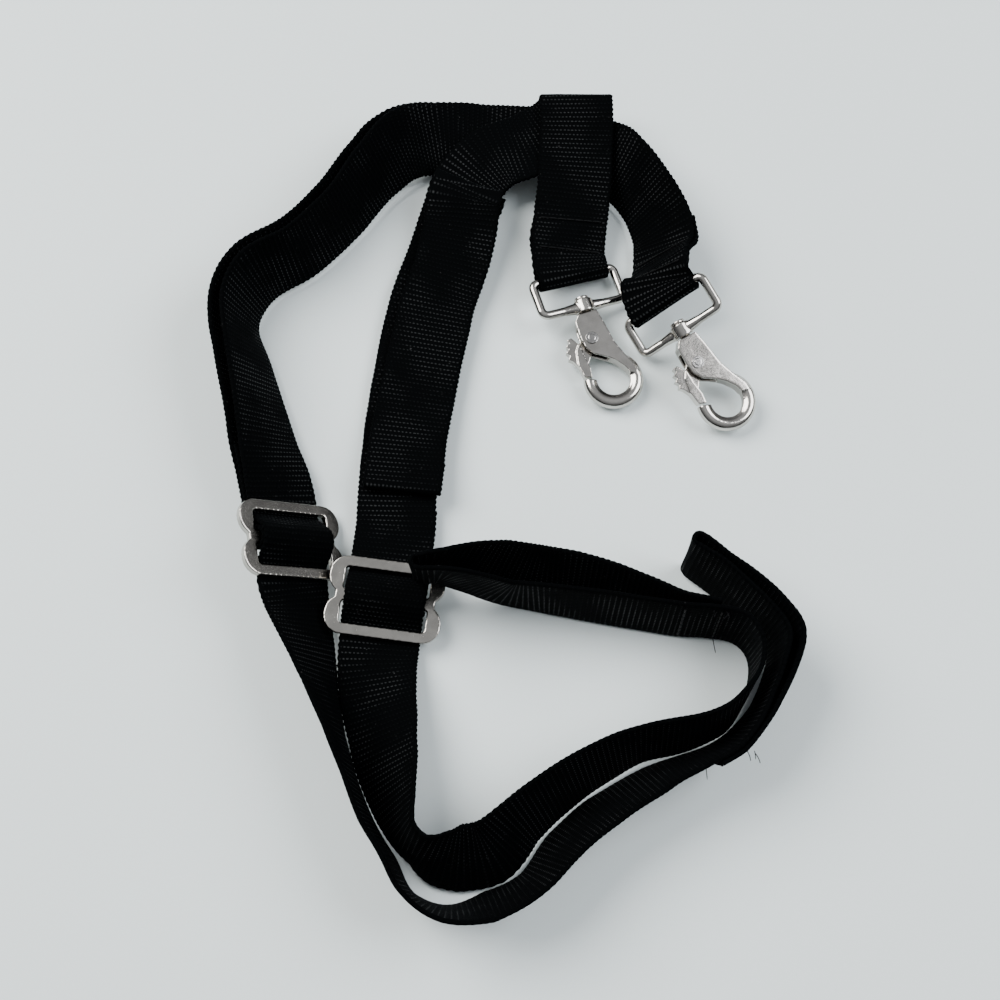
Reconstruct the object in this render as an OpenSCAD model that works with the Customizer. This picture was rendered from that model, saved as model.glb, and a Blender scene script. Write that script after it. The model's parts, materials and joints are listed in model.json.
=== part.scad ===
// Pair of webbing martingale straps. Each strap has a short snap strap with a swivel trigger
// snap, and a long girth strap with a sewn girth loop, joined at a flat slide adjuster.
// The straps lie as they were put down on a table: strap b first, strap a across it.

/* [Webbing] */
// Width of the webbing
web_w = 25.4; // [24:0.1:26]
// Thickness of the webbing
web_t = 1.5; // [1.3:0.05:1.6]
// Longest facet along a strap
web_step = 4; // [3:0.5:8]

/* [Swivel eye] */
// Inner width of the eye, where the webbing passes
eye_inner_w = 27; // [26.4:0.1:28]
// Distance between the centres of the eye's two bars
eye_h = 12; // [11:0.5:14]
// Radius of the eye's wire
eye_r = 1.5; // [1.2:0.05:1.6]

/* [Hook] */
// Radius of the hook's inner wall
ring_r = 5.5; // [5:0.1:6]
// Radius of the hook's wire
ring_wire_r = 2.3; // [1.8:0.1:2.4]
// Thickness of the hook's body
body_t = 5; // [4.6:0.1:6]
// Radius of the swivel post
post_r = 1.7; // [1.4:0.05:2]
// Radius of the rivet that holds the gate
rivet_r = 1.1; // [0.9:0.05:1.3]

/* [Slide adjuster] */
// Width of the slide over its lobes
slide_w = 36.5; // [35:0.5:38]
// Height of the slide
slide_h = 25; // [24:0.5:26]
// Thickness of the slide's plate
slide_t = 2.2; // [1.8:0.1:2.4]
// Width of the slide's three bars
slide_bar = 3.4; // [3:0.1:3.6]

/* [Stitching] */
// Length of one stitch
stitch_l = 2.4; // [1.5:0.1:3]
// Width of the thread
thread_w = 0.5; // [0.3:0.05:0.7]

/* [Hidden] */
gap = 0.15;
// Centre of the laid-out straps' outline, with the lowest point of the webbing under it
rest_centre = [-4.64, 11.59, -0.29];
web_pitch = web_t + gap;
edge_lift = 0.15 + web_t / 2;
webbing_colour = [0.03, 0.035, 0.04];
thread_colour = [0.06, 0.06, 0.07];
metal_colour = [0.78, 0.77, 0.74];

// Where each snap's swivel sits: place, heading from -Y towards +X, fall of the hook, roll of the eye
swivel_a = [25.8, 71.2, 6];
heading_a = 19;
fall_a = 5;
roll_a = 11;
swivel_b = [57.6, 59.6, 11.5];
heading_b = 31;
fall_b = 12;
roll_b = -34;

// Where each slide sits: place, heading, pitch of its upper end, roll
slide_at_a = [-38.5, -31.5, 6.9];
slide_turn_a = [4, 4, -7];
slide_at_b = [-67.8, -14, 13];
slide_turn_b = [0, 40, 10];

// ---- small vector helpers ----
function unit(v) = v / norm(v);
function across(w, t) = unit(w - (w * t) * t);
function aim(az, el) = [cos(az) * cos(el), sin(az) * cos(el), sin(el)];
function spin_x(p, a) = [p[0], p[1] * cos(a) - p[2] * sin(a), p[1] * sin(a) + p[2] * cos(a)];
function spin_y(p, a) = [p[0] * cos(a) + p[2] * sin(a), p[1], p[2] * cos(a) - p[0] * sin(a)];
function spin_z(p, a) = [p[0] * cos(a) - p[1] * sin(a), p[0] * sin(a) + p[1] * cos(a), p[2]];
function backwards(list) = [for (i = [len(list) - 1:-1:0]) list[i]];

// ---- routes ----
// A station is [point, width direction]. A route is a list of stations.
function at(x, y, z, az, el) = [[x, y, z], aim(az, el)];
// A station of webbing whose lower edge lies on the table
function edge_down(x, y, az, el) =
    at(x, y, edge_lift * (0.6 + abs(cos(el))) + web_w / 2 * abs(sin(el)), az, el);

// Heading of a route at station i
function route_dir(r, i) = unit(r[min(i + 1, len(r) - 1)][0] - r[max(i - 1, 0)][0]);
// Station i moved sideways along the width and up off the webbing's face
function beside(r, i, side, up) =
    let (w = across(r[i][1], route_dir(r, i)), n = cross(w, route_dir(r, i)))
    [r[i][0] + side * w + up * n, r[i][1]];

// Smooth route: short facets, with the heading at each station taken from its neighbours
function span_steps(a, b) = max(2, ceil(norm(b[0] - a[0]) / web_step));
function hermite(a, b, ta, tb, s) =
    (2 * pow(s, 3) - 3 * pow(s, 2) + 1) * a + (pow(s, 3) - 2 * pow(s, 2) + s) * ta
    + (3 * pow(s, 2) - 2 * pow(s, 3)) * b + (pow(s, 3) - pow(s, 2)) * tb;
function smooth(r) = concat(
    [for (i = [0:len(r) - 2])
        let (n = span_steps(r[i], r[i + 1]), l = norm(r[i + 1][0] - r[i][0]),
             ta = l * route_dir(r, i), tb = l * route_dir(r, i + 1))
        for (k = [0:n - 1])
            [hermite(r[i][0], r[i + 1][0], ta, tb, k / n),
             unit(r[i][1] * (1 - k / n) + r[i + 1][1] * k / n)]],
    [r[len(r) - 1]]);

// The four corners of the webbing's section at station i
function section(r, i) =
    let (t = route_dir(r, i), w = across(r[i][1], t) * web_w / 2,
         n = cross(w, t) / norm(cross(w, t)) * web_t / 2)
    [r[i][0] - w - n, r[i][0] + w - n, r[i][0] + w + n, r[i][0] - w + n];

module webbing(route) {
    r = smooth(route);
    last = len(r) - 1;
    points = [for (i = [0:last]) each section(r, i)];
    sides = [for (i = [0:last - 1]) for (k = [0:3])
        let (a = 4 * i + k, b = 4 * i + (k + 1) % 4, c = b + 4, d = a + 4)
        each [[a, b, c], [a, c, d]]];
    ends = [[3, 2, 1, 0], [4 * last, 4 * last + 1, 4 * last + 2, 4 * last + 3]];
    translate(-rest_centre) polyhedron(points, concat(sides, ends));
}

// ---- frames of the hardware ----
// In a snap's frame -Y runs from the swivel to the hook's tip and X lies across it
function snap_point(at, heading, fall, roll, p) =
    at + spin_z(spin_x(spin_y(p, roll), fall), heading);
// In a slide's frame Y runs up the strap towards the snap, X along the bars, Z off the plate
function slide_point(at, turn, p) = at + spin_z(spin_x(spin_y(p, turn[1]), turn[0]), turn[2]);

module in_snap(at, heading, fall, roll) {
    translate(at - rest_centre) rotate([0, 0, heading]) rotate([fall, 0, 0])
        rotate([0, roll, 0]) children();
}
module in_slide(at, turn) {
    translate(at - rest_centre) rotate([0, 0, turn[2]]) rotate([turn[0], 0, 0])
        rotate([0, turn[1], 0])
        children();
}

// ---- webbing round the eye's bar ----
// Profile [distance from the bar, height], from the free end under the strap, round the bar
// on the hook's side and away over it
wrap_r = eye_r + gap + web_t / 2;
eye_wrap = concat(
    [[9, -web_pitch - 0.3], [5, -2.3]],
    [for (a = [270:-45:90]) wrap_r * [cos(a), sin(a)]],
    [[5, 1.4], [9, 0.5]]);
// From skew_from past the bar the webbing drifts sideways by skew for each millimetre
function snap_wrap(at, heading, fall, roll, skew, skew_from) =
    [for (q = eye_wrap)
        [snap_point(at, heading, fall, roll, [skew * max(0, q[0] - skew_from), eye_h + q[0], q[1]]),
         snap_point([0, 0, 0], heading, fall, roll, [1, 0, 0])]];

// ---- webbing through the slide ----
bar_y = (slide_h - slide_bar) / 2;
under = -slide_t / 2 - 2 * gap - web_t / 2;
bar_wrap_r = norm([slide_bar, slide_t]) / 2 + 2 * gap + web_t / 2;
over_r = bar_wrap_r + web_pitch;
// Girth strap: under the lower bar, over the wrapped centre bar, under the upper bar
weave_girth = concat(
    [[-bar_y - 3, under], [-bar_y, under], [-bar_y + 2.3, under + 0.1]],
    [for (a = [140:-25:40]) over_r * [cos(a), sin(a)]],
    [[bar_y - 2.3, under + 0.1], [bar_y, under], [bar_y + 3, under]]);
// Snap strap: below both bars, round the centre bar and back beneath the girth strap
weave_snap = concat(
    [[bar_y + 3, under - 2.3 * web_pitch], [bar_y - 1.5, under - 2.1 * web_pitch],
     [4.6, -bar_wrap_r - 0.9]],
    [for (a = [275:-37:53]) bar_wrap_r * [cos(a), sin(a)]],
    [[bar_wrap_r, 0.6], [bar_y - 3.3, under - web_pitch + 0.2],
     [bar_y, under - 1.05 * web_pitch], [bar_y + 3, under - 1.15 * web_pitch]]);
function through_slide(profile, at, turn, flip) =
    [for (q = profile)
        [slide_point(at, turn, [0, q[0], q[1]]),
         slide_point([0, 0, 0], turn, [flip, 0, 0])]];

// ---- the four straps ----
// Strap a, snap end: up from the snap, over in a curl, and down the middle
drop_a = [
    at(21.6, 103, 8.6, 2, 0), at(23.3, 120, 11.6, 0, 0), at(24, 135.5, 14.2, 0, 0),
    at(24, 146.4, 15.6, 0, 0), at(23.9, 149.6, 14.2, 0, 0), at(23.7, 147.6, 12.6, 0, 0),
    at(22.6, 144.5, 12.2, -12, 0), at(19.5, 139.9, 12.1, -28, 0), at(14, 135.5, 11.9, -42, 0),
    at(6.5, 131.5, 11.2, -52, 0), at(-5, 127, 10, -50, 0),
    at(-13.5, 119, 6.9, -28, 0), at(-18, 107, 2.9, -12, 0), at(-22, 94, 1.1, -14, 0),
    at(-27.8, 75, 0.95, -12, 0), at(-32.5, 46.5, 0.95, -7, 0), at(-35.5, 18, 0.95, -5, 0)];
fold_end_a = at(-36.2, -7, 0.95, -6, 0);
route_snap_a = concat(
    [beside(drop_a, 0, 0, -web_pitch - 0.1), at(20.2, 97, 5.6, 8, -4)],
    snap_wrap(swivel_a, heading_a, fall_a, roll_a, 0.3, 2.5),
    drop_a, [fold_end_a],
    through_slide(weave_snap, slide_at_a, slide_turn_a, 1),
    [[fold_end_a[0] + [0, 0, web_pitch], fold_end_a[1]],
     at(-35.6, 0, 0.95 + web_pitch, -6, 0)]);

// Strap a, girth end: loop, lower run, slide, then up the middle to the turn of the tail
loop_a_back = [
    edge_down(64, -38.3, 443, -97), edge_down(53, -36.4, 447, -100), edge_down(44, -33.8, 452, -106),
    edge_down(32, -29.8, 450, -113), edge_down(20, -26.6, 446, -117), edge_down(8, -24.6, 442, -117),
    at(-4, -23.5, 15.8, 440, -112), at(-14, -23.5, 20, 442, -101), at(-24, -24.4, 23.2, 444, -88)];
loop_a_tip = [at(-28, -25.3, 23.4, 448, -83), at(-28.9, -26.9, 23.4, 448, -83),
              at(-27.4, -28.2, 23.3, 448, -83)];
loop_a_front = [
    at(-19, -28.4, 22.6, 443, -84), at(-10, -29.3, 17.5, 440, -88),
    edge_down(0, -31.2, 440, -91), edge_down(14, -33.4, 442, -94), edge_down(28, -35.6, 442, -96),
    edge_down(41, -37.8, 442, -97), edge_down(53, -39.6, 443, -97),
    edge_down(64, -40.5, 440, -97), edge_down(71, -42.5, 420, -96)];
run_a = [
    edge_down(75.2, -48.5, 385, -92), edge_down(74.8, -56.5, 352, -90),
    edge_down(70.8, -63.8, 325, -86), edge_down(64.2, -70.5, 300, -81), edge_down(53.6, -74.7, 289, -77),
    edge_down(38.8, -78.1, 293, -75), edge_down(25.7, -84.3, 300, -69),
    edge_down(15.4, -90.8, 308, -65), edge_down(3.5, -100.4, 308, -60),
    edge_down(-5.7, -108.8, 300, -47),
    edge_down(-14, -110.8, 285, -49), edge_down(-21, -110.6, 267, -61),
    edge_down(-26.5, -108.6, 245, -74), edge_down(-30.5, -104.5, 217, -72),
    edge_down(-33, -97, 198, -60), edge_down(-36, -84, 190, -42),
    at(-39.4, -65, 6.3, 182, -22), at(-40.6, -53, 4.6, 178, -8)];
tail_a = [
    at(-36.1, -6, 1.2 + 2 * web_pitch, 174, 0), at(-35.9, 3, 1.2 + 2 * web_pitch, 174, 0),
    at(-35.3, 18, 1.1 + web_pitch, 175, 0),
    at(-32.1, 46.5, 1.1 + web_pitch, 173, 0), at(-27.3, 75, 1.1 + web_pitch, 168, 0),
    at(-20.6, 94, 1.3 + web_pitch, 166, 0), at(-16.3, 106.5, 3.3 + web_pitch, 165, 0),
    at(-13.6, 112.6, 6.2 + web_pitch, 158, 0)];
turn_a = [at(-12.6, 115.2, 9.3, 156, 0), at(-12.7, 116, 11, 155, 0), at(-13.1, 115.3, 12.2, 155, 0)];
route_girth_a = concat(
    loop_a_back, loop_a_tip, loop_a_front, run_a,
    through_slide(weave_girth, slide_at_a, slide_turn_a, -1),
    tail_a, turn_a);
// The free tail lies back on the strap and ends in a folded stop
flap_a = [
    at(-13.6, 113.4, 12.1, 156, 0), at(-15, 110.2, 11.6, 158, 0), at(-16.2, 101, 8.6, 166, 0),
    at(-19.2, 87, 6.4, 167, 0), at(-23.6, 73, 5.3, 168, 0), at(-29.3, 44, 5, 172, 0),
    at(-32.3, 24, 6.1, 173, 0), at(-33.8, 7, 8.4, 174, 0)];
stop_a = [at(-34, 5, 8.1, 174, 0), at(-33.9, 5.3, 7, 174, 0), at(-33.6, 8, 6.4, 174, 0),
          at(-32.8, 16, 4.9, 173, 0)];
route_flap_a = concat(flap_a, stop_a);

// Strap b, snap end: up and round the arc with its outer edge raised
arc_b = [
    at(52, 87.5, 11.8, 26, 36), at(52.6, 97, 11.4, 20, 44), at(47.8, 110, 11.5, 20, 54),
    edge_down(40.5, 122, 34, 50), edge_down(32, 131.5, 60, 22), edge_down(20, 137.5, 84, 9),
    edge_down(0, 138.6, 90, 8), edge_down(-25, 138.6, 92, 13), edge_down(-37.5, 133, 112, 42),
    edge_down(-48.5, 121.5, 130, 62), edge_down(-59, 105.8, 143, 69), edge_down(-72, 91.5, 138, 71),
    edge_down(-86, 82, 146, 68), edge_down(-92, 71, 166, 70), edge_down(-92.5, 60.5, 187, 70),
    edge_down(-89, 49, 198, 64), edge_down(-84.4, 34, 196, 58), edge_down(-79.8, 18, 192, 50),
    edge_down(-76.2, 8, 190, 42)];
route_snap_b = concat(
    [beside(arc_b, 1, 0, -web_pitch - 0.3), beside(arc_b, 0, 1, -web_pitch - 0.3)],
    snap_wrap(swivel_b, heading_b, fall_b, roll_b, 0.45, 3.5),
    arc_b,
    through_slide(weave_snap, slide_at_b, slide_turn_b, -1),
    [beside(arc_b, 18, 0, web_pitch + 0.1), beside(arc_b, 17, 0, web_pitch + 0.1)]);

// Strap b, girth end: loop, lower run on edge, slide, then back round the arc
loop_b_inner = [
    edge_down(63.6, -25, 420, 82), edge_down(71, -31.6, 414, 83), edge_down(77.6, -38.6, 400, 83),
    edge_down(82.4, -46, 370, 84), edge_down(80.8, -54.2, 342, 85), edge_down(76.2, -64.8, 326, 84),
    edge_down(71.5, -71.7, 316, 79), edge_down(65.5, -77.8, 302, 75),
    edge_down(59.6, -81, 294, 74)];
loop_b_gap = [3, 3.8, 4.2, 4.2, 3.6, 2.6, 1.9, 1.8, 1.8];
loop_b_outer = backwards([for (i = [0:8]) beside(loop_b_inner, i, 0, loop_b_gap[i])]);
loop_b_tip = [edge_down(60.8, -18.9, 424, 82), edge_down(57.6, -16.9, 428, 83),
              edge_down(56.3, -18.3, 428, 83), edge_down(57.2, -20.2, 428, 83)];
run_b = [
    edge_down(43.6, -88, 298, 65), edge_down(27.9, -97.3, 307, 62), edge_down(16.3, -107, 315, 63),
    edge_down(6.6, -118.1, 313, 69), edge_down(-5.9, -124.5, 293, 67), edge_down(-18.2, -126.4, 264, 77),
    edge_down(-29, -121.2, 236, 85), edge_down(-35.1, -110.8, 218, 84),
    edge_down(-41.4, -100.7, 207, 85), edge_down(-47, -87.9, 202, 86),
    edge_down(-52.2, -73.9, 198, 82), edge_down(-56.9, -60, 195, 73),
    edge_down(-61.1, -47, 193, 58), edge_down(-64.9, -35.5, 190, 46)];
// Steps off the snap strap along the arc, from the slide to the tail's end
tail_b_lift = [4, 4.3, 4.4, 4.6, 4.6, 4.6, 4.6, 4.6, 4.6, 4.4, 3.4, 2.4, 2, 2];
tail_b = [for (k = [0:len(tail_b_lift) - 1]) beside(arc_b, len(arc_b) - 1 - k, 0, tail_b_lift[k])];
route_girth_b = concat(
    loop_b_outer, loop_b_tip, loop_b_inner, run_b,
    through_slide(weave_girth, slide_at_b, slide_turn_b, -1),
    tail_b);

// ---- stitching ----
function smooth_index(r, i) = i == 0 ? 0 : smooth_index(r, i - 1) + span_steps(r[i - 1], r[i]);
// One stitch lying on the webbing at station i of a smoothed route
module stitch_at(r, i, side, up, angle) {
    t = route_dir(r, i);
    w = across(r[i][1], t);
    n = cross(w, t);
    p = r[i][0] - rest_centre + side * w + up * n;
    multmatrix([[t[0], w[0], n[0], p[0]], [t[1], w[1], n[1], p[1]], [t[2], w[2], n[2], p[2]],
                [0, 0, 0, 1]])
        rotate([0, 0, angle]) cube([stitch_l, thread_w, 0.25], center = true);
}
// A row of stitches across the webbing at station i, on the face that up points to
module stitch_row(route, i, up) {
    r = smooth(route);
    pitch = stitch_l + 0.6;
    half = floor((web_w / 2 - 2) / pitch);
    for (k = [-half:half]) stitch_at(r, smooth_index(route, i), k * pitch, up, 90);
}
stitch_up = web_t / 2 + 0.18;

// ---- hardware ----
module quarter_bend(x, y, start) {
    translate([x, y, 0]) rotate([0, 0, start])
        rotate_extrude(angle = 90, $fn = 48) translate([2, 0]) circle(r = eye_r, $fn = 32);
}
module rod_x(x0, x1, y, r) {
    translate([x0, y, 0]) rotate([0, 90, 0]) cylinder(r = r, h = x1 - x0, $fn = 32);
}
module rod_y(y0, y1, x, r) {
    translate([x, y0, 0]) rotate([-90, 0, 0]) cylinder(r = r, h = y1 - y0, $fn = 32);
}

eye_x = eye_inner_w / 2 + eye_r;
boss_r = 3.3;
boss_half = 2.2;
module eye_frame() {
    color(metal_colour) difference() {
        union() {
            rod_x(-eye_x + 2, eye_x - 2, eye_h, eye_r);
            rod_x(-eye_x + 2, eye_x - 2, 0, eye_r);
            for (s = [-1, 1]) {
                rod_y(2, eye_h - 2, s * eye_x, eye_r);
                translate([s * 7.5, 0, 0]) rotate([0, -90 * s, 0])
                    cylinder(r1 = eye_r, r2 = 2.1, h = 5.5, $fn = 32);
            }
            quarter_bend(eye_x - 2, eye_h - 2, 0);
            quarter_bend(-eye_x + 2, eye_h - 2, 90);
            quarter_bend(-eye_x + 2, 2, 180);
            quarter_bend(eye_x - 2, 2, 270);
            rod_y(-boss_half, boss_half, 0, boss_r);
        }
        rod_y(-boss_half - 1, boss_half + 1, 0, post_r + 0.05);
    }
}

ring_at = [0.4, -27.6];
pivot_at = [-1.8, -12];
slot_t = 3;
nose_start = 163;
ring_seat = 3;
module cheek_outline() {
    polygon([[-3.5, -2.6], [3.2, -2.6], [3.9, -6], [5.1, -15.5], [7, -21], [8.9, -25.4],
             [ring_at[0] + ring_r + 3, -28], [ring_at[0] + ring_r + 0.1, -27.6], [5.2, -24.8],
             [4.3, -23.6], [3.2, -22], [1.4, -20.4], [-0.8, -18.9], [-3.2, -17.4], [-5, -14.5],
             [-5.5, -10.6], [-5.3, -5]]);
}
module hook_body() {
    color(metal_colour) {
        difference() {
            union() {
                translate([0, 0, -body_t / 2]) linear_extrude(body_t) difference() {
                    cheek_outline();
                    translate(ring_at) circle(r = ring_r, $fn = 64);
                }
                translate(ring_at) rotate([0, 0, nose_start])
                    rotate_extrude(angle = 242, $fn = 72) {
                        translate([ring_r + ring_wire_r, 0]) circle(r = ring_wire_r, $fn = 24);
                        translate([ring_r, -ring_seat / 2]) square([ring_wire_r, ring_seat]);
                    }
                rod_y(-3.2, boss_half + 0.2, 0, post_r);
                rod_y(boss_half + 0.15, boss_half + 1.3, 0, 2.6);
            }
            translate([-9, -21, -slot_t / 2]) cube([10.6, 14, slot_t]);
            translate([pivot_at[0], pivot_at[1], -5]) cylinder(r = rivet_r + 0.02, h = 10, $fn = 32);
        }
    }
}

gate_z = -slot_t / 2 + 0.12;
gate_t = 1.7;
finger_t = 3.8;
pad_t = 3;
module gate() {
    color(metal_colour) difference() {
        union() {
            translate([0, 0, gate_z]) linear_extrude(gate_t) {
                translate(pivot_at) circle(r = 2.9, $fn = 32);
                polygon([[-3.6, -9.6], [-6.5, -12.2], [-8.6, -17], [-6.2, -21], [-4.6, -18.5],
                         [-1.5, -14.4], [0.2, -13]]);
            }
            translate([0, 0, -finger_t / 2]) linear_extrude(finger_t)
                polygon([[-6.3, -12.2], [-8.2, -14.6], [-9.2, -19.5], [-8.7, -24.1],
                         [-6.1, -25], [-5.6, -21.5], [-6.2, -17]]);
            translate([0, 0, -pad_t / 2]) linear_extrude(pad_t)
                polygon([[-6.6, -12.4], [-8.2, -9.6], [-9.9, -9.9], [-9.5, -11.2],
                         [-10.9, -11.9], [-10.3, -13.2], [-11.6, -14], [-10.7, -15.3],
                         [-11.6, -16.6], [-10.4, -17.6], [-9, -20.5], [-8, -17]]);
        }
        translate([pivot_at[0], pivot_at[1], -5]) cylinder(r = rivet_r + 0.06, h = 10, $fn = 32);
    }
}
module rivet() {
    color(metal_colour) translate([pivot_at[0], pivot_at[1], 0]) {
        translate([0, 0, -body_t / 2 - 0.5]) cylinder(r = rivet_r, h = body_t + 1, $fn = 32);
        for (s = [-1, 1]) translate([0, 0, s * (body_t / 2 + 0.22) - 0.18])
            cylinder(r = 2.1, h = 0.36, $fn = 32);
    }
}
coil_r = 1.75;
spring_wire_r = 0.22;
module gate_spring() {
    color(metal_colour) translate([pivot_at[0], pivot_at[1], 0]) {
        for (k = [0, 1]) translate([0, 0, 0.7 + 0.47 * k]) rotate([0, 0, -120 * k])
            rotate_extrude(angle = 300, $fn = 48)
                translate([coil_r, 0]) circle(r = spring_wire_r, $fn = 24);
        translate([coil_r, -3.4, 0.7]) rotate([-90, 0, 0])
            cylinder(r = spring_wire_r, h = 3.4, $fn = 24);
        translate([-coil_r, -3.2, 1.17]) rotate([-90, 0, 0])
            cylinder(r = spring_wire_r, h = 3.2, $fn = 24);
    }
}

module rounded(x, y, w, h, r) {
    translate([x + r, y]) square([w - 2 * r, h]);
    translate([x, y + r]) square([w, h - 2 * r]);
    for (i = [0, 1], j = [0, 1])
        translate([x + r + i * (w - 2 * r), y + r + j * (h - 2 * r)]) circle(r = r, $fn = 48);
}
slot_w = 27;
module slide_plate() {
    half = slide_h / 2;
    color(metal_colour) translate([0, 0, -slide_t / 2]) linear_extrude(slide_t) difference() {
        union() {
            for (y = [0.2, -half]) rounded(-slide_w / 2, y, slide_w, half - 0.2, 5.8);
            translate([-slide_w / 2 + 2.6, -3]) square([slide_w - 5.2, 6]);
        }
        for (y = [slide_bar / 2, slide_bar - half])
            rounded(-slot_w / 2, y, slot_w, half - 1.5 * slide_bar, 1.2);
    }
}

// ---- nodes ----
module snap_strap_a() {
    color(webbing_colour) webbing(route_snap_a);
}
module girth_strap_a() {
    color(webbing_colour) webbing(route_girth_a);
}
module tail_flap_a() {
    color(webbing_colour) webbing(route_flap_a);
}
module snap_strap_b() {
    color(webbing_colour) webbing(route_snap_b);
}
module girth_strap_b() {
    color(webbing_colour) webbing(route_girth_b);
}
module slide_a() {
    in_slide(slide_at_a, slide_turn_a) slide_plate();
}
module slide_b() {
    in_slide(slide_at_b, slide_turn_b) slide_plate();
}
module eye_a() {
    in_snap(swivel_a, heading_a, fall_a, roll_a) eye_frame();
}
module eye_b() {
    in_snap(swivel_b, heading_b, fall_b, roll_b) eye_frame();
}
module hook_a() {
    in_snap(swivel_a, heading_a, fall_a, 0) hook_body();
}
module hook_b() {
    in_snap(swivel_b, heading_b, fall_b, 0) hook_body();
}
module gate_a() {
    in_snap(swivel_a, heading_a, fall_a, 0) gate();
}
module gate_b() {
    in_snap(swivel_b, heading_b, fall_b, 0) gate();
}
module rivet_a() {
    in_snap(swivel_a, heading_a, fall_a, 0) rivet();
}
module rivet_b() {
    in_snap(swivel_b, heading_b, fall_b, 0) rivet();
}
module gate_spring_a() {
    in_snap(swivel_a, heading_a, fall_a, 0) gate_spring();
}
module gate_spring_b() {
    in_snap(swivel_b, heading_b, fall_b, 0) gate_spring();
}
module snap_stitching_a() {
    first = len(eye_wrap) + 1;
    color(thread_colour) for (i = [first, first + 1]) stitch_row(route_snap_a, i, stitch_up + gap);
}
module snap_stitching_b() {
    first = len(eye_wrap) + 1;
    color(thread_colour) for (i = [first, first + 1]) stitch_row(route_snap_b, i, stitch_up + gap);
}
module slide_stitching_a() {
    color(thread_colour) stitch_row(route_snap_a, len(route_snap_a) - 1, stitch_up);
}
module slide_stitching_b() {
    color(thread_colour) stitch_row(route_snap_b, len(route_snap_b) - 1, -stitch_up);
}
module loop_stitching_a() {
    first = len(loop_a_back) + len(loop_a_tip) + 6;
    color(thread_colour) for (i = [first, first + 1]) stitch_row(route_girth_a, i, stitch_up);
}
module loop_stitching_b() {
    color(thread_colour) for (i = [0, 1]) stitch_row(route_girth_b, i, -stitch_up);
}
module tail_stitching_a() {
    color(thread_colour) stitch_row(route_flap_a, len(flap_a) - 2, -stitch_up);
}

snap_strap_a();
girth_strap_a();
tail_flap_a();
slide_a();
eye_a();
hook_a();
gate_a();
rivet_a();
gate_spring_a();
snap_stitching_a();
slide_stitching_a();
loop_stitching_a();
tail_stitching_a();
snap_strap_b();
girth_strap_b();
slide_b();
eye_b();
hook_b();
gate_b();
rivet_b();
gate_spring_b();
snap_stitching_b();
slide_stitching_b();
loop_stitching_b();
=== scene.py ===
"""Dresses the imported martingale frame: woven webbing, cast snaps, slides, stitching and a studio."""
import json
import math

import bpy
import numpy as np
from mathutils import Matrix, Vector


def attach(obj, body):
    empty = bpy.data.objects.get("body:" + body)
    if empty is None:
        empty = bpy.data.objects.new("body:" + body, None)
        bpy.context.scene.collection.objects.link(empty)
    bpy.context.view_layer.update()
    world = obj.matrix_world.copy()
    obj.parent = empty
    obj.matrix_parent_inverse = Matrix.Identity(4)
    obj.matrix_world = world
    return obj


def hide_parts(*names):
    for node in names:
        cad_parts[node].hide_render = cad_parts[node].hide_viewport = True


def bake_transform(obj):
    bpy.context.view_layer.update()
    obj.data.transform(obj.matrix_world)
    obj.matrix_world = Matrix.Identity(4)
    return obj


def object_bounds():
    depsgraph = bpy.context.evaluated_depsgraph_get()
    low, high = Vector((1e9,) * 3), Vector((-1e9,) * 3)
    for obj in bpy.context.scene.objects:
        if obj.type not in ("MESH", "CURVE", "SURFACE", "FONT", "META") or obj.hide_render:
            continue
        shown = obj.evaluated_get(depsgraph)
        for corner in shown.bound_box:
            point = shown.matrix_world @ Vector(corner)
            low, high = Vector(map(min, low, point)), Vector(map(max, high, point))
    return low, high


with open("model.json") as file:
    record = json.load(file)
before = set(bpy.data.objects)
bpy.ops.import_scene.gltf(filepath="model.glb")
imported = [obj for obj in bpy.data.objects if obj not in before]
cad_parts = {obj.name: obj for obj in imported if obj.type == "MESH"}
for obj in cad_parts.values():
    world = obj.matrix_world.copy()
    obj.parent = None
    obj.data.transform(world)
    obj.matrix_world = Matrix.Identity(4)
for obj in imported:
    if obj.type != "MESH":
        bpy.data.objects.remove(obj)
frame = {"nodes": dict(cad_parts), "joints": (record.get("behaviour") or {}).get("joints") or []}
cad_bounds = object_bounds()
MM = 0.001
NODES = frame["nodes"]
rng = np.random.default_rng(7)

# Fineness of the dressed surfaces: along the webbing, and over the castings
STEP = 0.45 * MM
VOXEL = 0.22 * MM

# Webbing
WEB_W = 25.4 * MM
WEB_T = 1.45 * MM
SELVEDGE_BUMP = 0.2 * MM
SELVEDGE_PITCH = 1.78 * MM
EDGE_WANDER = 0.12 * MM
EDGE_WANDER_PITCH = 7 * MM
EDGE_LIFT = 0.1 * MM
EDGE_LIFT_PITCH = 9 * MM
FRAY = 0.35 * MM

# The hook is drawn this far inside the CAD, so that its post clears the eye's bore all round
POST_GAP = 0.05 * MM

# Thread: a stitch's reach past its bar, its width against the bar, its rise, a loose end's radius
STITCH_REACH = 0.25 * MM
STITCH_WIDTH = 1.15
STITCH_RISE = 0.24 * MM
LOOSE_THREAD_R = 0.13 * MM


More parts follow.
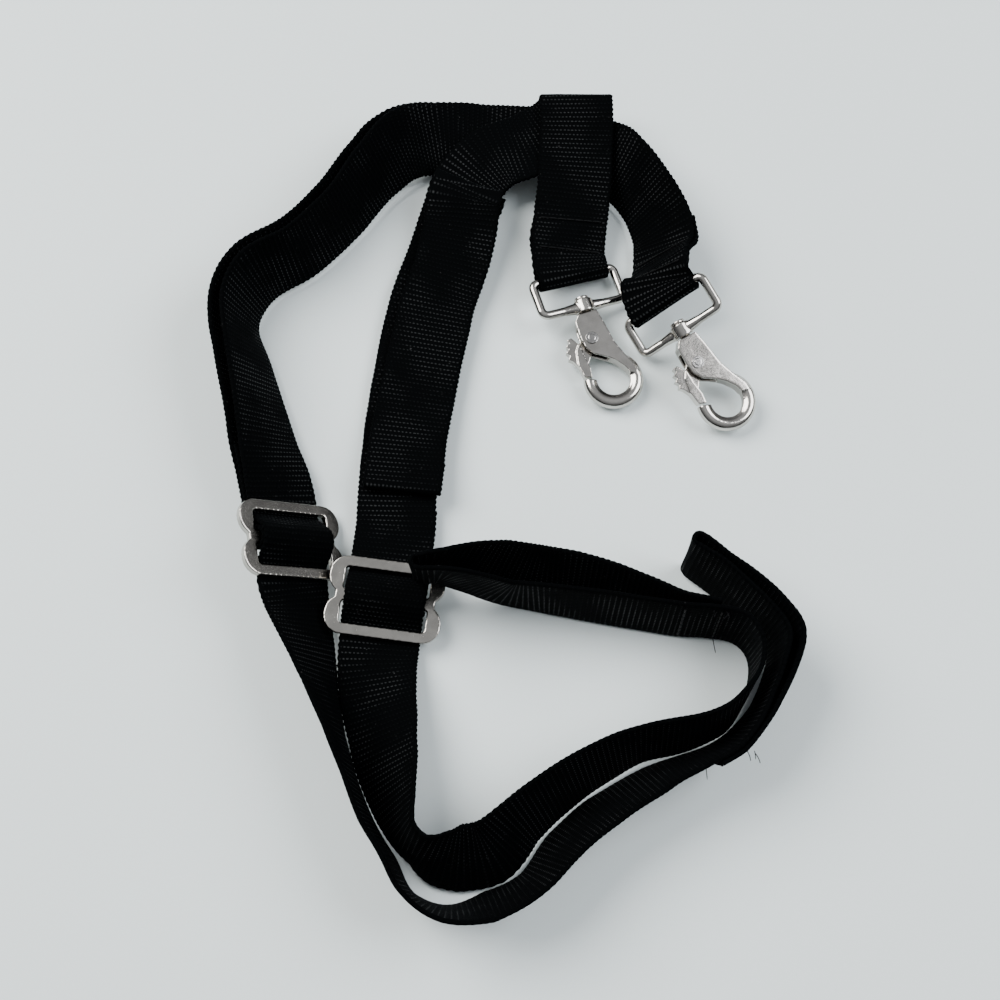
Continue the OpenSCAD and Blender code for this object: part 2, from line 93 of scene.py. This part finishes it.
# ---------- materials ----------
class Nodes:
    """Builds a principled material from small node expressions."""

    def __init__(self, name):
        self.mat = bpy.data.materials.new(name)
        self.mat.use_nodes = True
        self.tree = self.mat.node_tree
        self.tree.nodes.clear()
        self.out = self.tree.nodes.new("ShaderNodeOutputMaterial")
        self.bsdf = self.tree.nodes.new("ShaderNodeBsdfPrincipled")
        self.link(self.bsdf.outputs[0], self.out.inputs["Surface"])

    def link(self, a, b):
        self.tree.links.new(a, b)

    def put(self, socket, value):
        """Feeds a socket from another node, or sets its plain value."""
        if isinstance(value, bpy.types.NodeSocket):
            self.link(value, socket)
        elif isinstance(value, (tuple, list)) and len(value) == 3 and socket.type == "RGBA":
            socket.default_value = (*value, 1)
        else:
            socket.default_value = value

    def math(self, op, a, b=0.0):
        n = self.tree.nodes.new("ShaderNodeMath")
        n.operation = op
        for socket, value in zip(n.inputs, (a, b)):
            self.put(socket, value)
        return n.outputs[0]

    def times(self, a, b):
        return self.math("MULTIPLY", a, b)

    def plus(self, a, b):
        return self.math("ADD", a, b)

    def ramp(self, x, lo, hi, to_lo=0.0, to_hi=1.0):
        """Smooth step from to_lo at lo to to_hi at hi."""
        n = self.tree.nodes.new("ShaderNodeMapRange")
        n.interpolation_type = "SMOOTHSTEP"
        for socket, value in zip(n.inputs, (x, lo, hi, to_lo, to_hi)):
            self.put(socket, value)
        return n.outputs[0]

    def mix(self, f, a, b):
        """Colour a where f is 0, colour b where f is 1."""
        n = self.tree.nodes.new("ShaderNodeMix")
        n.data_type = "RGBA"
        self.put(n.inputs[0], f)
        self.put(n.inputs[6], a)
        self.put(n.inputs[7], b)
        return n.outputs[2]

    def noise(self, scale, detail=2.0, vector=None, rough=0.5):
        n = self.tree.nodes.new("ShaderNodeTexNoise")
        n.inputs["Scale"].default_value = scale
        n.inputs["Detail"].default_value = detail
        n.inputs["Roughness"].default_value = rough
        if vector is None:
            vector = self.object_space()
        self.link(vector, n.inputs["Vector"])
        return n.outputs[0]

    def object_space(self):
        """Coordinates that stay with the piece when it moves."""
        if not hasattr(self, "coords"):
            self.coords = self.tree.nodes.new("ShaderNodeTexCoord")
        return self.coords.outputs["Object"]

    def weave_uv(self):
        """The Weave map: whole, along the webbing, and across it."""
        uv = self.tree.nodes.new("ShaderNodeUVMap")
        uv.uv_map = "Weave"
        split = self.tree.nodes.new("ShaderNodeSeparateXYZ")
        self.link(uv.outputs[0], split.inputs[0])
        return uv.outputs[0], split.outputs[0], split.outputs[1]

    def bump(self, height, distance, strength=1.0, normal=None):
        n = self.tree.nodes.new("ShaderNodeBump")
        n.inputs["Strength"].default_value = strength
        n.inputs["Distance"].default_value = distance
        self.link(height, n.inputs["Height"])
        if normal is not None:
            self.link(normal, n.inputs["Normal"])
        return n.outputs[0]

    def set(self, **values):
        """Sets the shader's inputs, with _ for a space in their names."""
        for key, value in values.items():
            self.put(self.bsdf.inputs[key.replace("_", " ")], value)
        return self.mat


# The Weave map holds centimetres, and so do these pitches and the selvedge's distance from the middle
WEAVE_UNITS = 100
ROW_PITCH = 0.165
DASH_PITCH = 0.128
FILAMENT_PITCH = 0.03
SELVEDGE = 1.22

NYLON = (0.0011, 0.0014, 0.0016)
# The dash colour is a painted highlight: glints off the crowns of the weave.
NYLON_DASH_GLINT = (0.016, 0.018, 0.019)
LINT = (0.06, 0.06, 0.06)
THREAD_DARK = (0.001, 0.0012, 0.0014)
THREAD_LIGHT = (0.007, 0.008, 0.009)
SNAP_TINT = (0.56, 0.535, 0.50)
SLIDE_TINT = (0.46, 0.44, 0.405)
STEEL_TINT = (0.42, 0.41, 0.40)


def webbing_material():
    """Black nylon webbing: staggered rows of crosswise dashes painted lighter as glints on the yarn
    crowns, fine filaments, selvedge, lint.
    """
    m = Nodes("Webbing")
    uv, u, v = m.weave_uv()
    rows = m.math("DIVIDE", u, ROW_PITCH)
    row = m.math("FLOOR", rows)
    fu = m.math("FRACT", rows)
    odd = m.times(m.math("MODULO", m.math("ABSOLUTE", row), 2.0), 0.5)
    wobble = m.times(m.noise(9.0, 2.0, uv), 0.5)
    columns = m.plus(m.math("DIVIDE", v, DASH_PITCH), wobble)
    fv = m.math("FRACT", m.plus(columns, odd))
    su = m.math("SINE", m.times(fu, math.pi))
    sv = m.math("SINE", m.times(fv, math.pi))
    cell = m.times(m.math("POWER", su, 4.0), m.math("POWER", sv, 0.8))
    fibre = m.noise(160.0, 3.0, uv, 0.65)
    patch = m.noise(60.0, 3.0)
    twill = m.math("SINE", m.times(u, 2 * math.pi / FILAMENT_PITCH))
    height = m.plus(cell, m.times(fibre, 0.3))
    height = m.plus(height, m.times(twill, 0.04))
    dash = m.times(m.ramp(cell, 0.45, 1.0), m.ramp(fibre, 0.38, 0.62, 0.1, 1.2))
    dash = m.times(dash, m.ramp(patch, 0.4, 0.62, 0.15, 1.3))
    dash = m.times(dash, m.ramp(m.math("ABSOLUTE", v), SELVEDGE, SELVEDGE - 0.1))
    # Painted highlight: the weave's dashes get a lighter colour that stands in for glints off the yarn
    # crowns.
    colour = m.mix(dash, NYLON, NYLON_DASH_GLINT)
    lint = m.ramp(m.noise(1100.0, 1.0), 0.76, 0.82, 0.0, 0.5)
    colour = m.mix(lint, colour, LINT)
    return m.set(Base_Color=colour, Roughness=m.ramp(dash, 0.0, 1.0, 0.75, 0.45),
                 Normal=m.bump(height, 0.22 * MM),
                 Specular_IOR_Level=m.ramp(dash, 0.0, 1.0, 0.01, 0.22),
                 Sheen_Weight=0.005, Sheen_Roughness=0.4, Sheen_Tint=(0.8, 0.9, 1.0))


def thread_material():
    """Black bonded thread with a visible twist."""
    m = Nodes("Thread")
    wave = m.tree.nodes.new("ShaderNodeTexWave")
    wave.inputs["Scale"].default_value = 900.0
    m.link(m.object_space(), wave.inputs["Vector"])
    tone = m.times(wave.outputs[1], m.noise(1500.0))
    colour = m.mix(tone, THREAD_DARK, THREAD_LIGHT)
    return m.set(Base_Color=colour, Roughness=0.5, Normal=m.bump(tone, 0.08 * MM, 0.6),
                 Specular_IOR_Level=0.1, Sheen_Weight=0.01)


def shade(tint, factor):
    """A tint made darker or lighter."""
    return tuple(min(1.0, factor * c) for c in tint)


def metal_material(name, tint, rough_lo, rough_hi):
    """Plated casting: soft ripple, tumbling scuffs, painted shade in hollows, painted highlight on
    convex edges.
    """
    m = Nodes(name)
    geometry = m.tree.nodes.new("ShaderNodeNewGeometry")
    point = geometry.outputs["Pointiness"]
    # Painted highlight: convex edges (high pointiness) are lightened in the colour, standing in for
    # edge glints.
    painted_edge_highlight = m.ramp(point, 0.52, 0.6)
    # Painted shade: hollows (low pointiness) are darkened in the colour, standing in for shade.
    painted_hollow_shade = m.ramp(point, 0.485, 0.42)
    broad = m.noise(150.0, 3.0)
    fine = m.noise(1800.0, 3.0, rough=0.6)
    scuff = m.ramp(m.noise(500.0, 6.0, rough=0.75), 0.58, 0.7)
    dark = shade(tint, 0.3)
    colour = m.mix(m.ramp(broad, 0.35, 0.65), shade(tint, 0.82), tint)
    # Painted shade: the hollows are darkened here.
    colour = m.mix(m.times(painted_hollow_shade, 0.75), colour, dark)
    # Painted highlight: the convex edges are lightened here.
    colour = m.mix(m.times(painted_edge_highlight, 0.5), colour, shade(tint, 1.35))
    colour = m.mix(m.times(scuff, 0.15), colour, dark)
    rough = m.ramp(fine, 0.3, 0.7, rough_lo, rough_hi)
    rough = m.plus(rough, m.times(scuff, 0.1))
    normal = m.bump(broad, 0.2 * MM, 0.4)
    normal = m.bump(fine, 0.02 * MM, 0.12, normal)
    return m.set(Base_Color=colour, Metallic=1.0, Roughness=rough, Normal=normal)


WEBBING = webbing_material()
THREAD = thread_material()
SNAP_METAL = metal_material("SnapNickel", SNAP_TINT, 0.12, 0.2)
SLIDE_METAL = metal_material("SlideNickel", SLIDE_TINT, 0.15, 0.24)
STEEL = metal_material("Steel", STEEL_TINT, 0.16, 0.28)


# ---------- mesh helpers ----------
def make(name, verts, faces, material, body="webbing"):
    """A smooth-shaded piece in its material slot, riding a body unless that is None."""
    mesh = bpy.data.meshes.new(name)
    mesh.from_pydata([tuple(v) for v in verts], [], faces)
    mesh.materials.append(material)
    for poly in mesh.polygons:
        poly.use_smooth = True
    obj = bpy.data.objects.new(name, mesh)
    bpy.context.scene.collection.objects.link(obj)
    if body:
        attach(obj, body)
    return obj


def sleeve(rings, sides, base=0):
    """Faces of a closed sleeve: quads between neighbouring rings of corners, and both end caps."""
    faces = []
    for i in range(rings - 1):
        near, far = base + i * sides, base + (i + 1) * sides
        for k in range(sides):
            j = (k + 1) % sides
            faces.append((near + k, near + j, far + j, far + k))
    faces.append(tuple(range(base + sides - 1, base - 1, -1)))
    faces.append(tuple(range(base + (rings - 1) * sides, base + rings * sides)))
    return faces


def unit(v):
    """Vectors scaled to length 1."""
    return v / np.linalg.norm(v, axis=-1, keepdims=True)


def merged(node):
    """A CAD node's distinct corners and its edges between them."""
    mesh = NODES[node].data
    raw = np.array([v.co[:] for v in mesh.vertices])
    same_place = 0.002 * MM
    keys = np.round(raw / same_place).astype(np.int64)
    _, first, index = np.unique(keys, axis=0, return_index=True, return_inverse=True)
    index = index.reshape(-1)
    links = {i: set() for i in range(len(first))}
    for edge in mesh.edges:
        a, b = index[edge.vertices[0]], index[edge.vertices[1]]
        if a != b:
            links[a].add(b)
            links[b].add(a)
    return raw[first], links


def islands(links):
    """Groups of corners that are joined by edges."""
    left, out = set(links), []
    while left:
        group, todo = set(), [left.pop()]
        while todo:
            i = todo.pop()
            group.add(i)
            fresh = links[i] & left
            left -= fresh
            todo.extend(fresh)
        out.append(sorted(group))
    return out


def stations(node):
    """Centre line and width directions of a webbing node, read back ring by ring."""
    points, links = merged(node)
    # Only corners of the two cut ends have so few edges; the first ring is one cut end
    ends = [i for i in links if len(links[i]) <= 5]
    start = {ends[0]} | {j for j in links[ends[0]] if j in ends}
    start |= {j for i in start for j in links[i] if j in ends}
    seen, ring, rings = set(start), start, []
    while ring:
        rings.append(points[sorted(ring)])
        ring = {j for i in ring for j in links[i]} - seen
        seen |= ring
    centres = np.array([r.mean(axis=0) for r in rings])
    # The wide sides and diagonals of each ring, turned the same way, average to its width
    widths, last = [], None
    for r in rings:
        spans = r[:, None, :] - r[None, :, :]
        sizes = np.linalg.norm(spans, axis=2)
        i, j = divmod(int(np.argmax(sizes)), len(r))
        long = [spans[a, b] for a in range(4) for b in range(4)
                if sizes[a, b] > 0.9 * WEB_W and spans[a, b] @ spans[i, j] > 0]
        w = unit(np.mean(long, axis=0))
        if last is not None and w @ last < 0:
            w = -w
        widths.append(w)
        last = w
    return centres, np.array(widths)


def resample(centres, widths, step):
    """Smooth route through the stations at an even step: points, widths, headings, lengths."""
    d = np.linalg.norm(np.diff(centres, axis=0), axis=1)
    s = np.concatenate([[0], np.cumsum(d)])
    slope = np.gradient(centres, s, axis=0)
    n = max(4, int(round(s[-1] / step)))
    t = np.linspace(0, s[-1], n + 1)
    k = np.clip(np.searchsorted(s, t, side="right") - 1, 0, len(s) - 2)
    h = (s[k + 1] - s[k])[:, None]
    x = ((t - s[k]) / h[:, 0])[:, None]
    p = ((2 * x**3 - 3 * x**2 + 1) * centres[k] + (x**3 - 2 * x**2 + x) * h * slope[k]
         + (3 * x**2 - 2 * x**3) * centres[k + 1] + (x**3 - x**2) * h * slope[k + 1])
    w = unit(widths[k] * (1 - x) + widths[k + 1] * x)
    heading = unit(np.gradient(p, t, axis=0))
    w = unit(w - heading * (w * heading).sum(axis=1, keepdims=True))
    return p, w, heading, t


def flutter(t, pitch, seed):
    """Smooth seeded noise along a length."""
    r = np.random.default_rng(seed)
    knots = r.normal(size=int(t[-1] / pitch) + 4)
    x = t / pitch
    i = x.astype(int)
    f = x - i
    f = f * f * (3 - 2 * f)
    return knots[i] * (1 - f) + knots[i + 1] * f


def profile():
    """Section of the webbing as (across, thickness) in half widths and half thicknesses."""
    across = np.linspace(-0.955, 0.955, 15)
    top = [(a, 1.0) for a in across]
    right = [(0.985, 0.72), (1.0, 0.0), (0.985, -0.72)]
    return top + right + [(-a, -b) for a, b in top] + [(-a, -b) for a, b in right]


PROFILE = profile()


def webbing(name, centres, widths, seed, offset=0.0, ragged=(True, True), body="webbing"):
    """A strap of webbing along the stations, with a bumpy selvedge and heat-cut ends.

    offset is the length of webbing that comes before it, so that the weave runs on, and ragged
    says which of its two ends is cut.
    """
    p, w, t, s = resample(centres, widths, STEP)
    n = np.cross(w, t)
    count = len(p)
    bump = [SELVEDGE_BUMP * np.sin(2 * math.pi * s / SELVEDGE_PITCH + 1.3 * side)
            + EDGE_WANDER * flutter(s, EDGE_WANDER_PITCH, seed + side) for side in (0, 1)]
    lift = [EDGE_LIFT * flutter(s, EDGE_LIFT_PITCH, seed + 5 + side) for side in (0, 1)]
    fray = [FRAY * np.random.default_rng(seed + 9 + e).normal(size=len(PROFILE))
            for e in (0, 1)]
    verts, uvs = [], []
    for k, (a, b) in enumerate(PROFILE):
        side = 1 if a > 0 else 0
        half = WEB_W / 2 + bump[side] * abs(a)**6
        off = b * WEB_T / 2 + lift[side] * abs(a)**4
        ring = p + w * (a * half)[:, None] + n * off[:, None]
        for e, i in ((0, 0), (1, count - 1)):
            if ragged[e]:
                ring[i] += t[i] * fray[e][k] * (1 if e else -1)
        verts.append(ring)
        across = np.full(count, a * WEB_W / 2 * WEAVE_UNITS)
        uvs.append(np.stack([(s + offset) * WEAVE_UNITS, across], axis=1))
    corners = np.stack(verts, axis=1).reshape(-1, 3)
    faces = sleeve(count, len(PROFILE))
    obj = make(name, corners, faces, WEBBING, body=None)
    layer = obj.data.uv_layers.new(name="Weave")
    flat = np.stack(uvs, axis=1).reshape(-1, 2)
    loops = np.zeros(len(obj.data.loops), dtype=np.int32)
    obj.data.loops.foreach_get("vertex_index", loops)
    layer.data.foreach_set("uv", flat[loops].astype(np.float32).reshape(-1))
    if body:
        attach(obj, body)
    return obj, s[-1]


def cast(name, node, body, material, voxel, rounds, inset=0.0):
    """A CAD node with its edges softened like a casting."""
    mesh = NODES[node].data.copy()
    obj = bpy.data.objects.new(name, mesh)
    bpy.context.scene.collection.objects.link(obj)
    remesh = obj.modifiers.new("Skin", "REMESH")
    remesh.mode = "VOXEL"
    remesh.voxel_size = voxel
    soft = obj.modifiers.new("Soften", "SMOOTH")
    soft.factor = 0.5
    soft.iterations = rounds
    inward = obj.modifiers.new("Inward", "DISPLACE")
    inward.mid_level = 0
    inward.strength = -inset
    graph = bpy.context.evaluated_depsgraph_get()
    result = bpy.data.meshes.new_from_object(obj.evaluated_get(graph))
    obj.modifiers.clear()
    obj.data = result
    result.materials.clear()
    result.materials.append(material)
    for poly in result.polygons:
        poly.use_smooth = True
    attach(obj, body)
    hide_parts(node)
    return obj


def tube(name, path, radius):
    """A thin round thread along a path, narrower at its ends."""
    path = np.array(path)
    sides = 8
    t = unit(np.gradient(path, axis=0))
    side = unit(np.cross(t, [0.31, 0.2, 0.93]))
    up = np.cross(side, t)
    verts = []
    for i in range(len(path)):
        r = radius * (1 if 0 < i < len(path) - 1 else 0.4)
        for k in range(sides):
            a = 2 * math.pi * k / sides
            verts.append(path[i] + r * (side[i] * math.cos(a) + up[i] * math.sin(a)))
    make(name, verts, sleeve(len(path), sides), THREAD)


def stitches(name, node, body):
    """Each CAD stitch bar becomes a plump thread that dips into the webbing at its ends."""
    points, links = merged(node)
    verts, faces = [], []
    rings, sides = 9, 8
    for group in islands(links):
        p = points[group]
        c = p.mean(axis=0)
        _, _, axes = np.linalg.svd(p - c)
        size = [np.ptp((p - c) @ a) / 2 for a in axes]
        base = len(verts)
        for i in range(rings):
            x = -1 + 2 * i / (rings - 1)
            r = math.sqrt(max(0.04, 1 - x * x))**0.6
            for k in range(sides):
                a = 2 * math.pi * k / sides
                verts.append(c + axes[0] * x * (size[0] + STITCH_REACH)
                             + axes[1] * r * size[1] * STITCH_WIDTH * math.cos(a)
                             + axes[2] * r * STITCH_RISE * math.sin(a))
        faces += sleeve(rings, sides, base)
    obj = make(name, verts, faces, THREAD, body)
    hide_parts(node)


# ---------- straps ----------
route = {n: stations(n) for n in ("snap_strap_a", "girth_strap_a", "tail_flap_a",
                                  "snap_strap_b", "girth_strap_b")}


for node, seed in (("snap_strap_a", 11), ("snap_strap_b", 31), ("girth_strap_b", 41)):
    obj, _ = webbing(node.title().replace("_", ""), *route[node], seed)
    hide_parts(node)

# The girth strap's tail turns over into the flap: the last stations belong to both
centres, widths = route["girth_strap_a"]
flap_c, flap_w = route["tail_flap_a"]
hinge = next(j for j in frame["joints"] if j["name"] == "tail_a_lift")
fold = np.array(hinge["pos_m"])
if np.linalg.norm(centres[0] - fold) < np.linalg.norm(centres[-1] - fold):
    centres, widths = centres[::-1], widths[::-1]
if np.linalg.norm(flap_c[-1] - fold) < np.linalg.norm(flap_c[0] - fold):
    flap_c, flap_w = flap_c[::-1], flap_w[::-1]
if widths[-1] @ flap_w[0] < 0:
    flap_w = -flap_w
SHARED = 4
girth, length = webbing("GirthStrapA", centres[:-SHARED], widths[:-SHARED], 21,
                        ragged=(True, False))
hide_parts("girth_strap_a")
flap, _ = webbing("TailFlapA", np.vstack([centres[-SHARED - 1:], flap_c]),
                  np.vstack([widths[-SHARED - 1:], flap_w]), 26, offset=length,
                  ragged=(False, True), body=None)
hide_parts("tail_flap_a")
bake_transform(flap)

# ---------- hardware ----------
for side in "ab":
    cast(f"Eye_{side}", f"eye_{side}", f"eye_{side}", SNAP_METAL, VOXEL, 6)
    cast(f"Hook_{side}", f"hook_{side}", f"hook_{side}", SNAP_METAL, VOXEL, 16,
         inset=POST_GAP)
    cast(f"Gate_{side}", f"gate_{side}", f"gate_{side}", SNAP_METAL,
         VOXEL * 0.75, 9)
    cast(f"Rivet_{side}", f"rivet_{side}", f"hook_{side}", STEEL, VOXEL * 0.4, 4)
    cast(f"Slide_{side}", f"slide_{side}", f"slide_{side}", SLIDE_METAL,
         VOXEL, 9)
    NODES[f"gate_spring_{side}"].data.materials.clear()
    NODES[f"gate_spring_{side}"].data.materials.append(STEEL)
    for kind in ("snap", "slide", "loop"):
        stitches(f"{kind.title()}Stitching_{side}", f"{kind}_stitching_{side}", "webbing")
stitches("TailStitching_a", "tail_stitching_a", "tail_a")


# ---------- loose thread ends ----------
def thread_end(name, start, heading, length, droop):
    """A loose thread, length in millimetres, that leaves its stitch, wanders and droops."""
    start, heading = np.array(start), unit(np.array(heading, dtype=float))
    wander = rng.normal(size=3) * 0.25
    path = []
    for x in np.linspace(0, 1, 12):
        bend = np.array([wander[0] * x * x, wander[1] * x * x, -droop * x * x])
        path.append(start + (heading * x + bend) * length * MM)
    tube(name, path, LOOSE_THREAD_R)


for node in ("loop_stitching_a", "loop_stitching_b"):
    corners, _ = merged(node)
    top = corners[corners[:, 2].argmax()]
    foot = corners[corners[:, 2].argmin()]
    for i in range(5):
        start = top + np.array([rng.uniform(-3, 3), rng.uniform(-0.5, 0.5), 0.3]) * MM
        thread_end(f"FrayTop_{node[-1]}_{i}", start,
                   (rng.uniform(-1, 1), rng.uniform(-1, 0.2), 0.5), rng.uniform(2.5, 4.5), 0.3)
    thread_end(f"ThreadTail_{node[-1]}", foot + np.array([0, 1.5, 0.6]) * MM, (0.1, -1, 0), 7, 0)

# ---------- studio ----------
PAPER = ((0.75, 0.825, 0.828), (0.81, 0.89, 0.893))
BACKDROP = (0.60, 0.64, 0.645, 1)
ROOM_TINT = (0.93, 0.96, 1.0, 1)
# Brightness of the room by height, from its floor to its lit ceiling
ROOM = ((0.0, 0.16), (0.3, 0.12), (0.6, 0.25), (0.85, 0.45), (1.0, 0.6))


def tabletop():
    """A plain pale table just under the part."""
    below = cad_bounds[0][2] - 0.05 * MM
    bpy.ops.mesh.primitive_plane_add(size=6, location=(0, 0, below))
    floor = bpy.context.active_object
    floor.name = "Floor"
    m = Nodes("Tabletop")
    grain = m.noise(900.0, 3.0)
    blotch = m.noise(3.0, 2.0)
    tone = m.plus(m.times(grain, 0.4), m.times(blotch, 0.6))
    m.set(Base_Color=m.mix(tone, *PAPER), Roughness=0.55, Normal=m.bump(grain, 0.02 * MM, 0.3))
    floor.data.materials.append(m.mat)


def room():
    """A dim room with a lit ceiling for reflections; the camera sees a plain backdrop instead."""
    world = bpy.data.worlds.new("Studio")
    bpy.context.scene.world = world
    world.use_nodes = True
    tree = world.node_tree
    tree.nodes.clear()
    out = tree.nodes.new("ShaderNodeOutputWorld")
    walls = tree.nodes.new("ShaderNodeBackground")
    coords = tree.nodes.new("ShaderNodeTexCoord")
    split = tree.nodes.new("ShaderNodeSeparateXYZ")
    fade = tree.nodes.new("ShaderNodeValToRGB")
    while len(fade.color_ramp.elements) < len(ROOM):
        fade.color_ramp.elements.new(0.5)
    for element, (height, light) in zip(fade.color_ramp.elements, ROOM):
        element.position = height
        element.color = (light, light, light, 1)
    tree.links.new(coords.outputs["Generated"], split.inputs[0])
    tree.links.new(split.outputs["Z"], fade.inputs["Fac"])
    tree.links.new(fade.outputs[0], walls.inputs["Strength"])
    walls.inputs["Color"].default_value = ROOM_TINT
    backdrop = tree.nodes.new("ShaderNodeBackground")
    backdrop.inputs["Color"].default_value = BACKDROP
    rays = tree.nodes.new("ShaderNodeLightPath")
    choose = tree.nodes.new("ShaderNodeMixShader")
    tree.links.new(rays.outputs["Is Camera Ray"], choose.inputs[0])
    tree.links.new(walls.outputs[0], choose.inputs[1])
    tree.links.new(backdrop.outputs[0], choose.inputs[2])
    tree.links.new(choose.outputs[0], out.inputs["Surface"])


def area_light(name, place, size, power, colour):
    """A round soft light aimed at the middle of the table."""
    light = bpy.data.lights.new(name, "AREA")
    light.shape = "DISK"
    light.size = size
    light.energy = power
    light.color = colour
    obj = bpy.data.objects.new(name, light)
    bpy.context.scene.collection.objects.link(obj)
    x, y, z = place
    yaw = math.atan2(-y, -x) - math.pi / 2
    pitch = math.atan2(z, math.hypot(x, y))
    obj.location = place
    obj.rotation_euler = (math.pi / 2 - pitch, 0, yaw)


def camera():
    """A view from above at the photograph's angle, aimed a little nearer than the part's middle."""
    tilt = math.radians(20)
    distance = 450.976 * MM
    middle = (np.array(cad_bounds[0]) + np.array(cad_bounds[1])) / 2
    aim = middle + np.array([2.043, -12.984, 0]) * MM
    data = bpy.data.cameras.new("Camera")
    data.sensor_width = 36
    data.lens = 52
    obj = bpy.data.objects.new("Camera", data)
    bpy.context.scene.collection.objects.link(obj)
    obj.location = aim + distance * np.array([0, -math.sin(tilt), math.cos(tilt)])
    obj.rotation_euler = (tilt, 0, 0)
    bpy.context.scene.camera = obj


tabletop()
room()
area_light("Window", (-1.0, 0.55, 1.2), 1.3, 46, (1.0, 0.99, 0.97))
area_light("Fill", (1.1, 0.2, 1.1), 1.1, 24, (0.95, 0.97, 1.0))
camera()
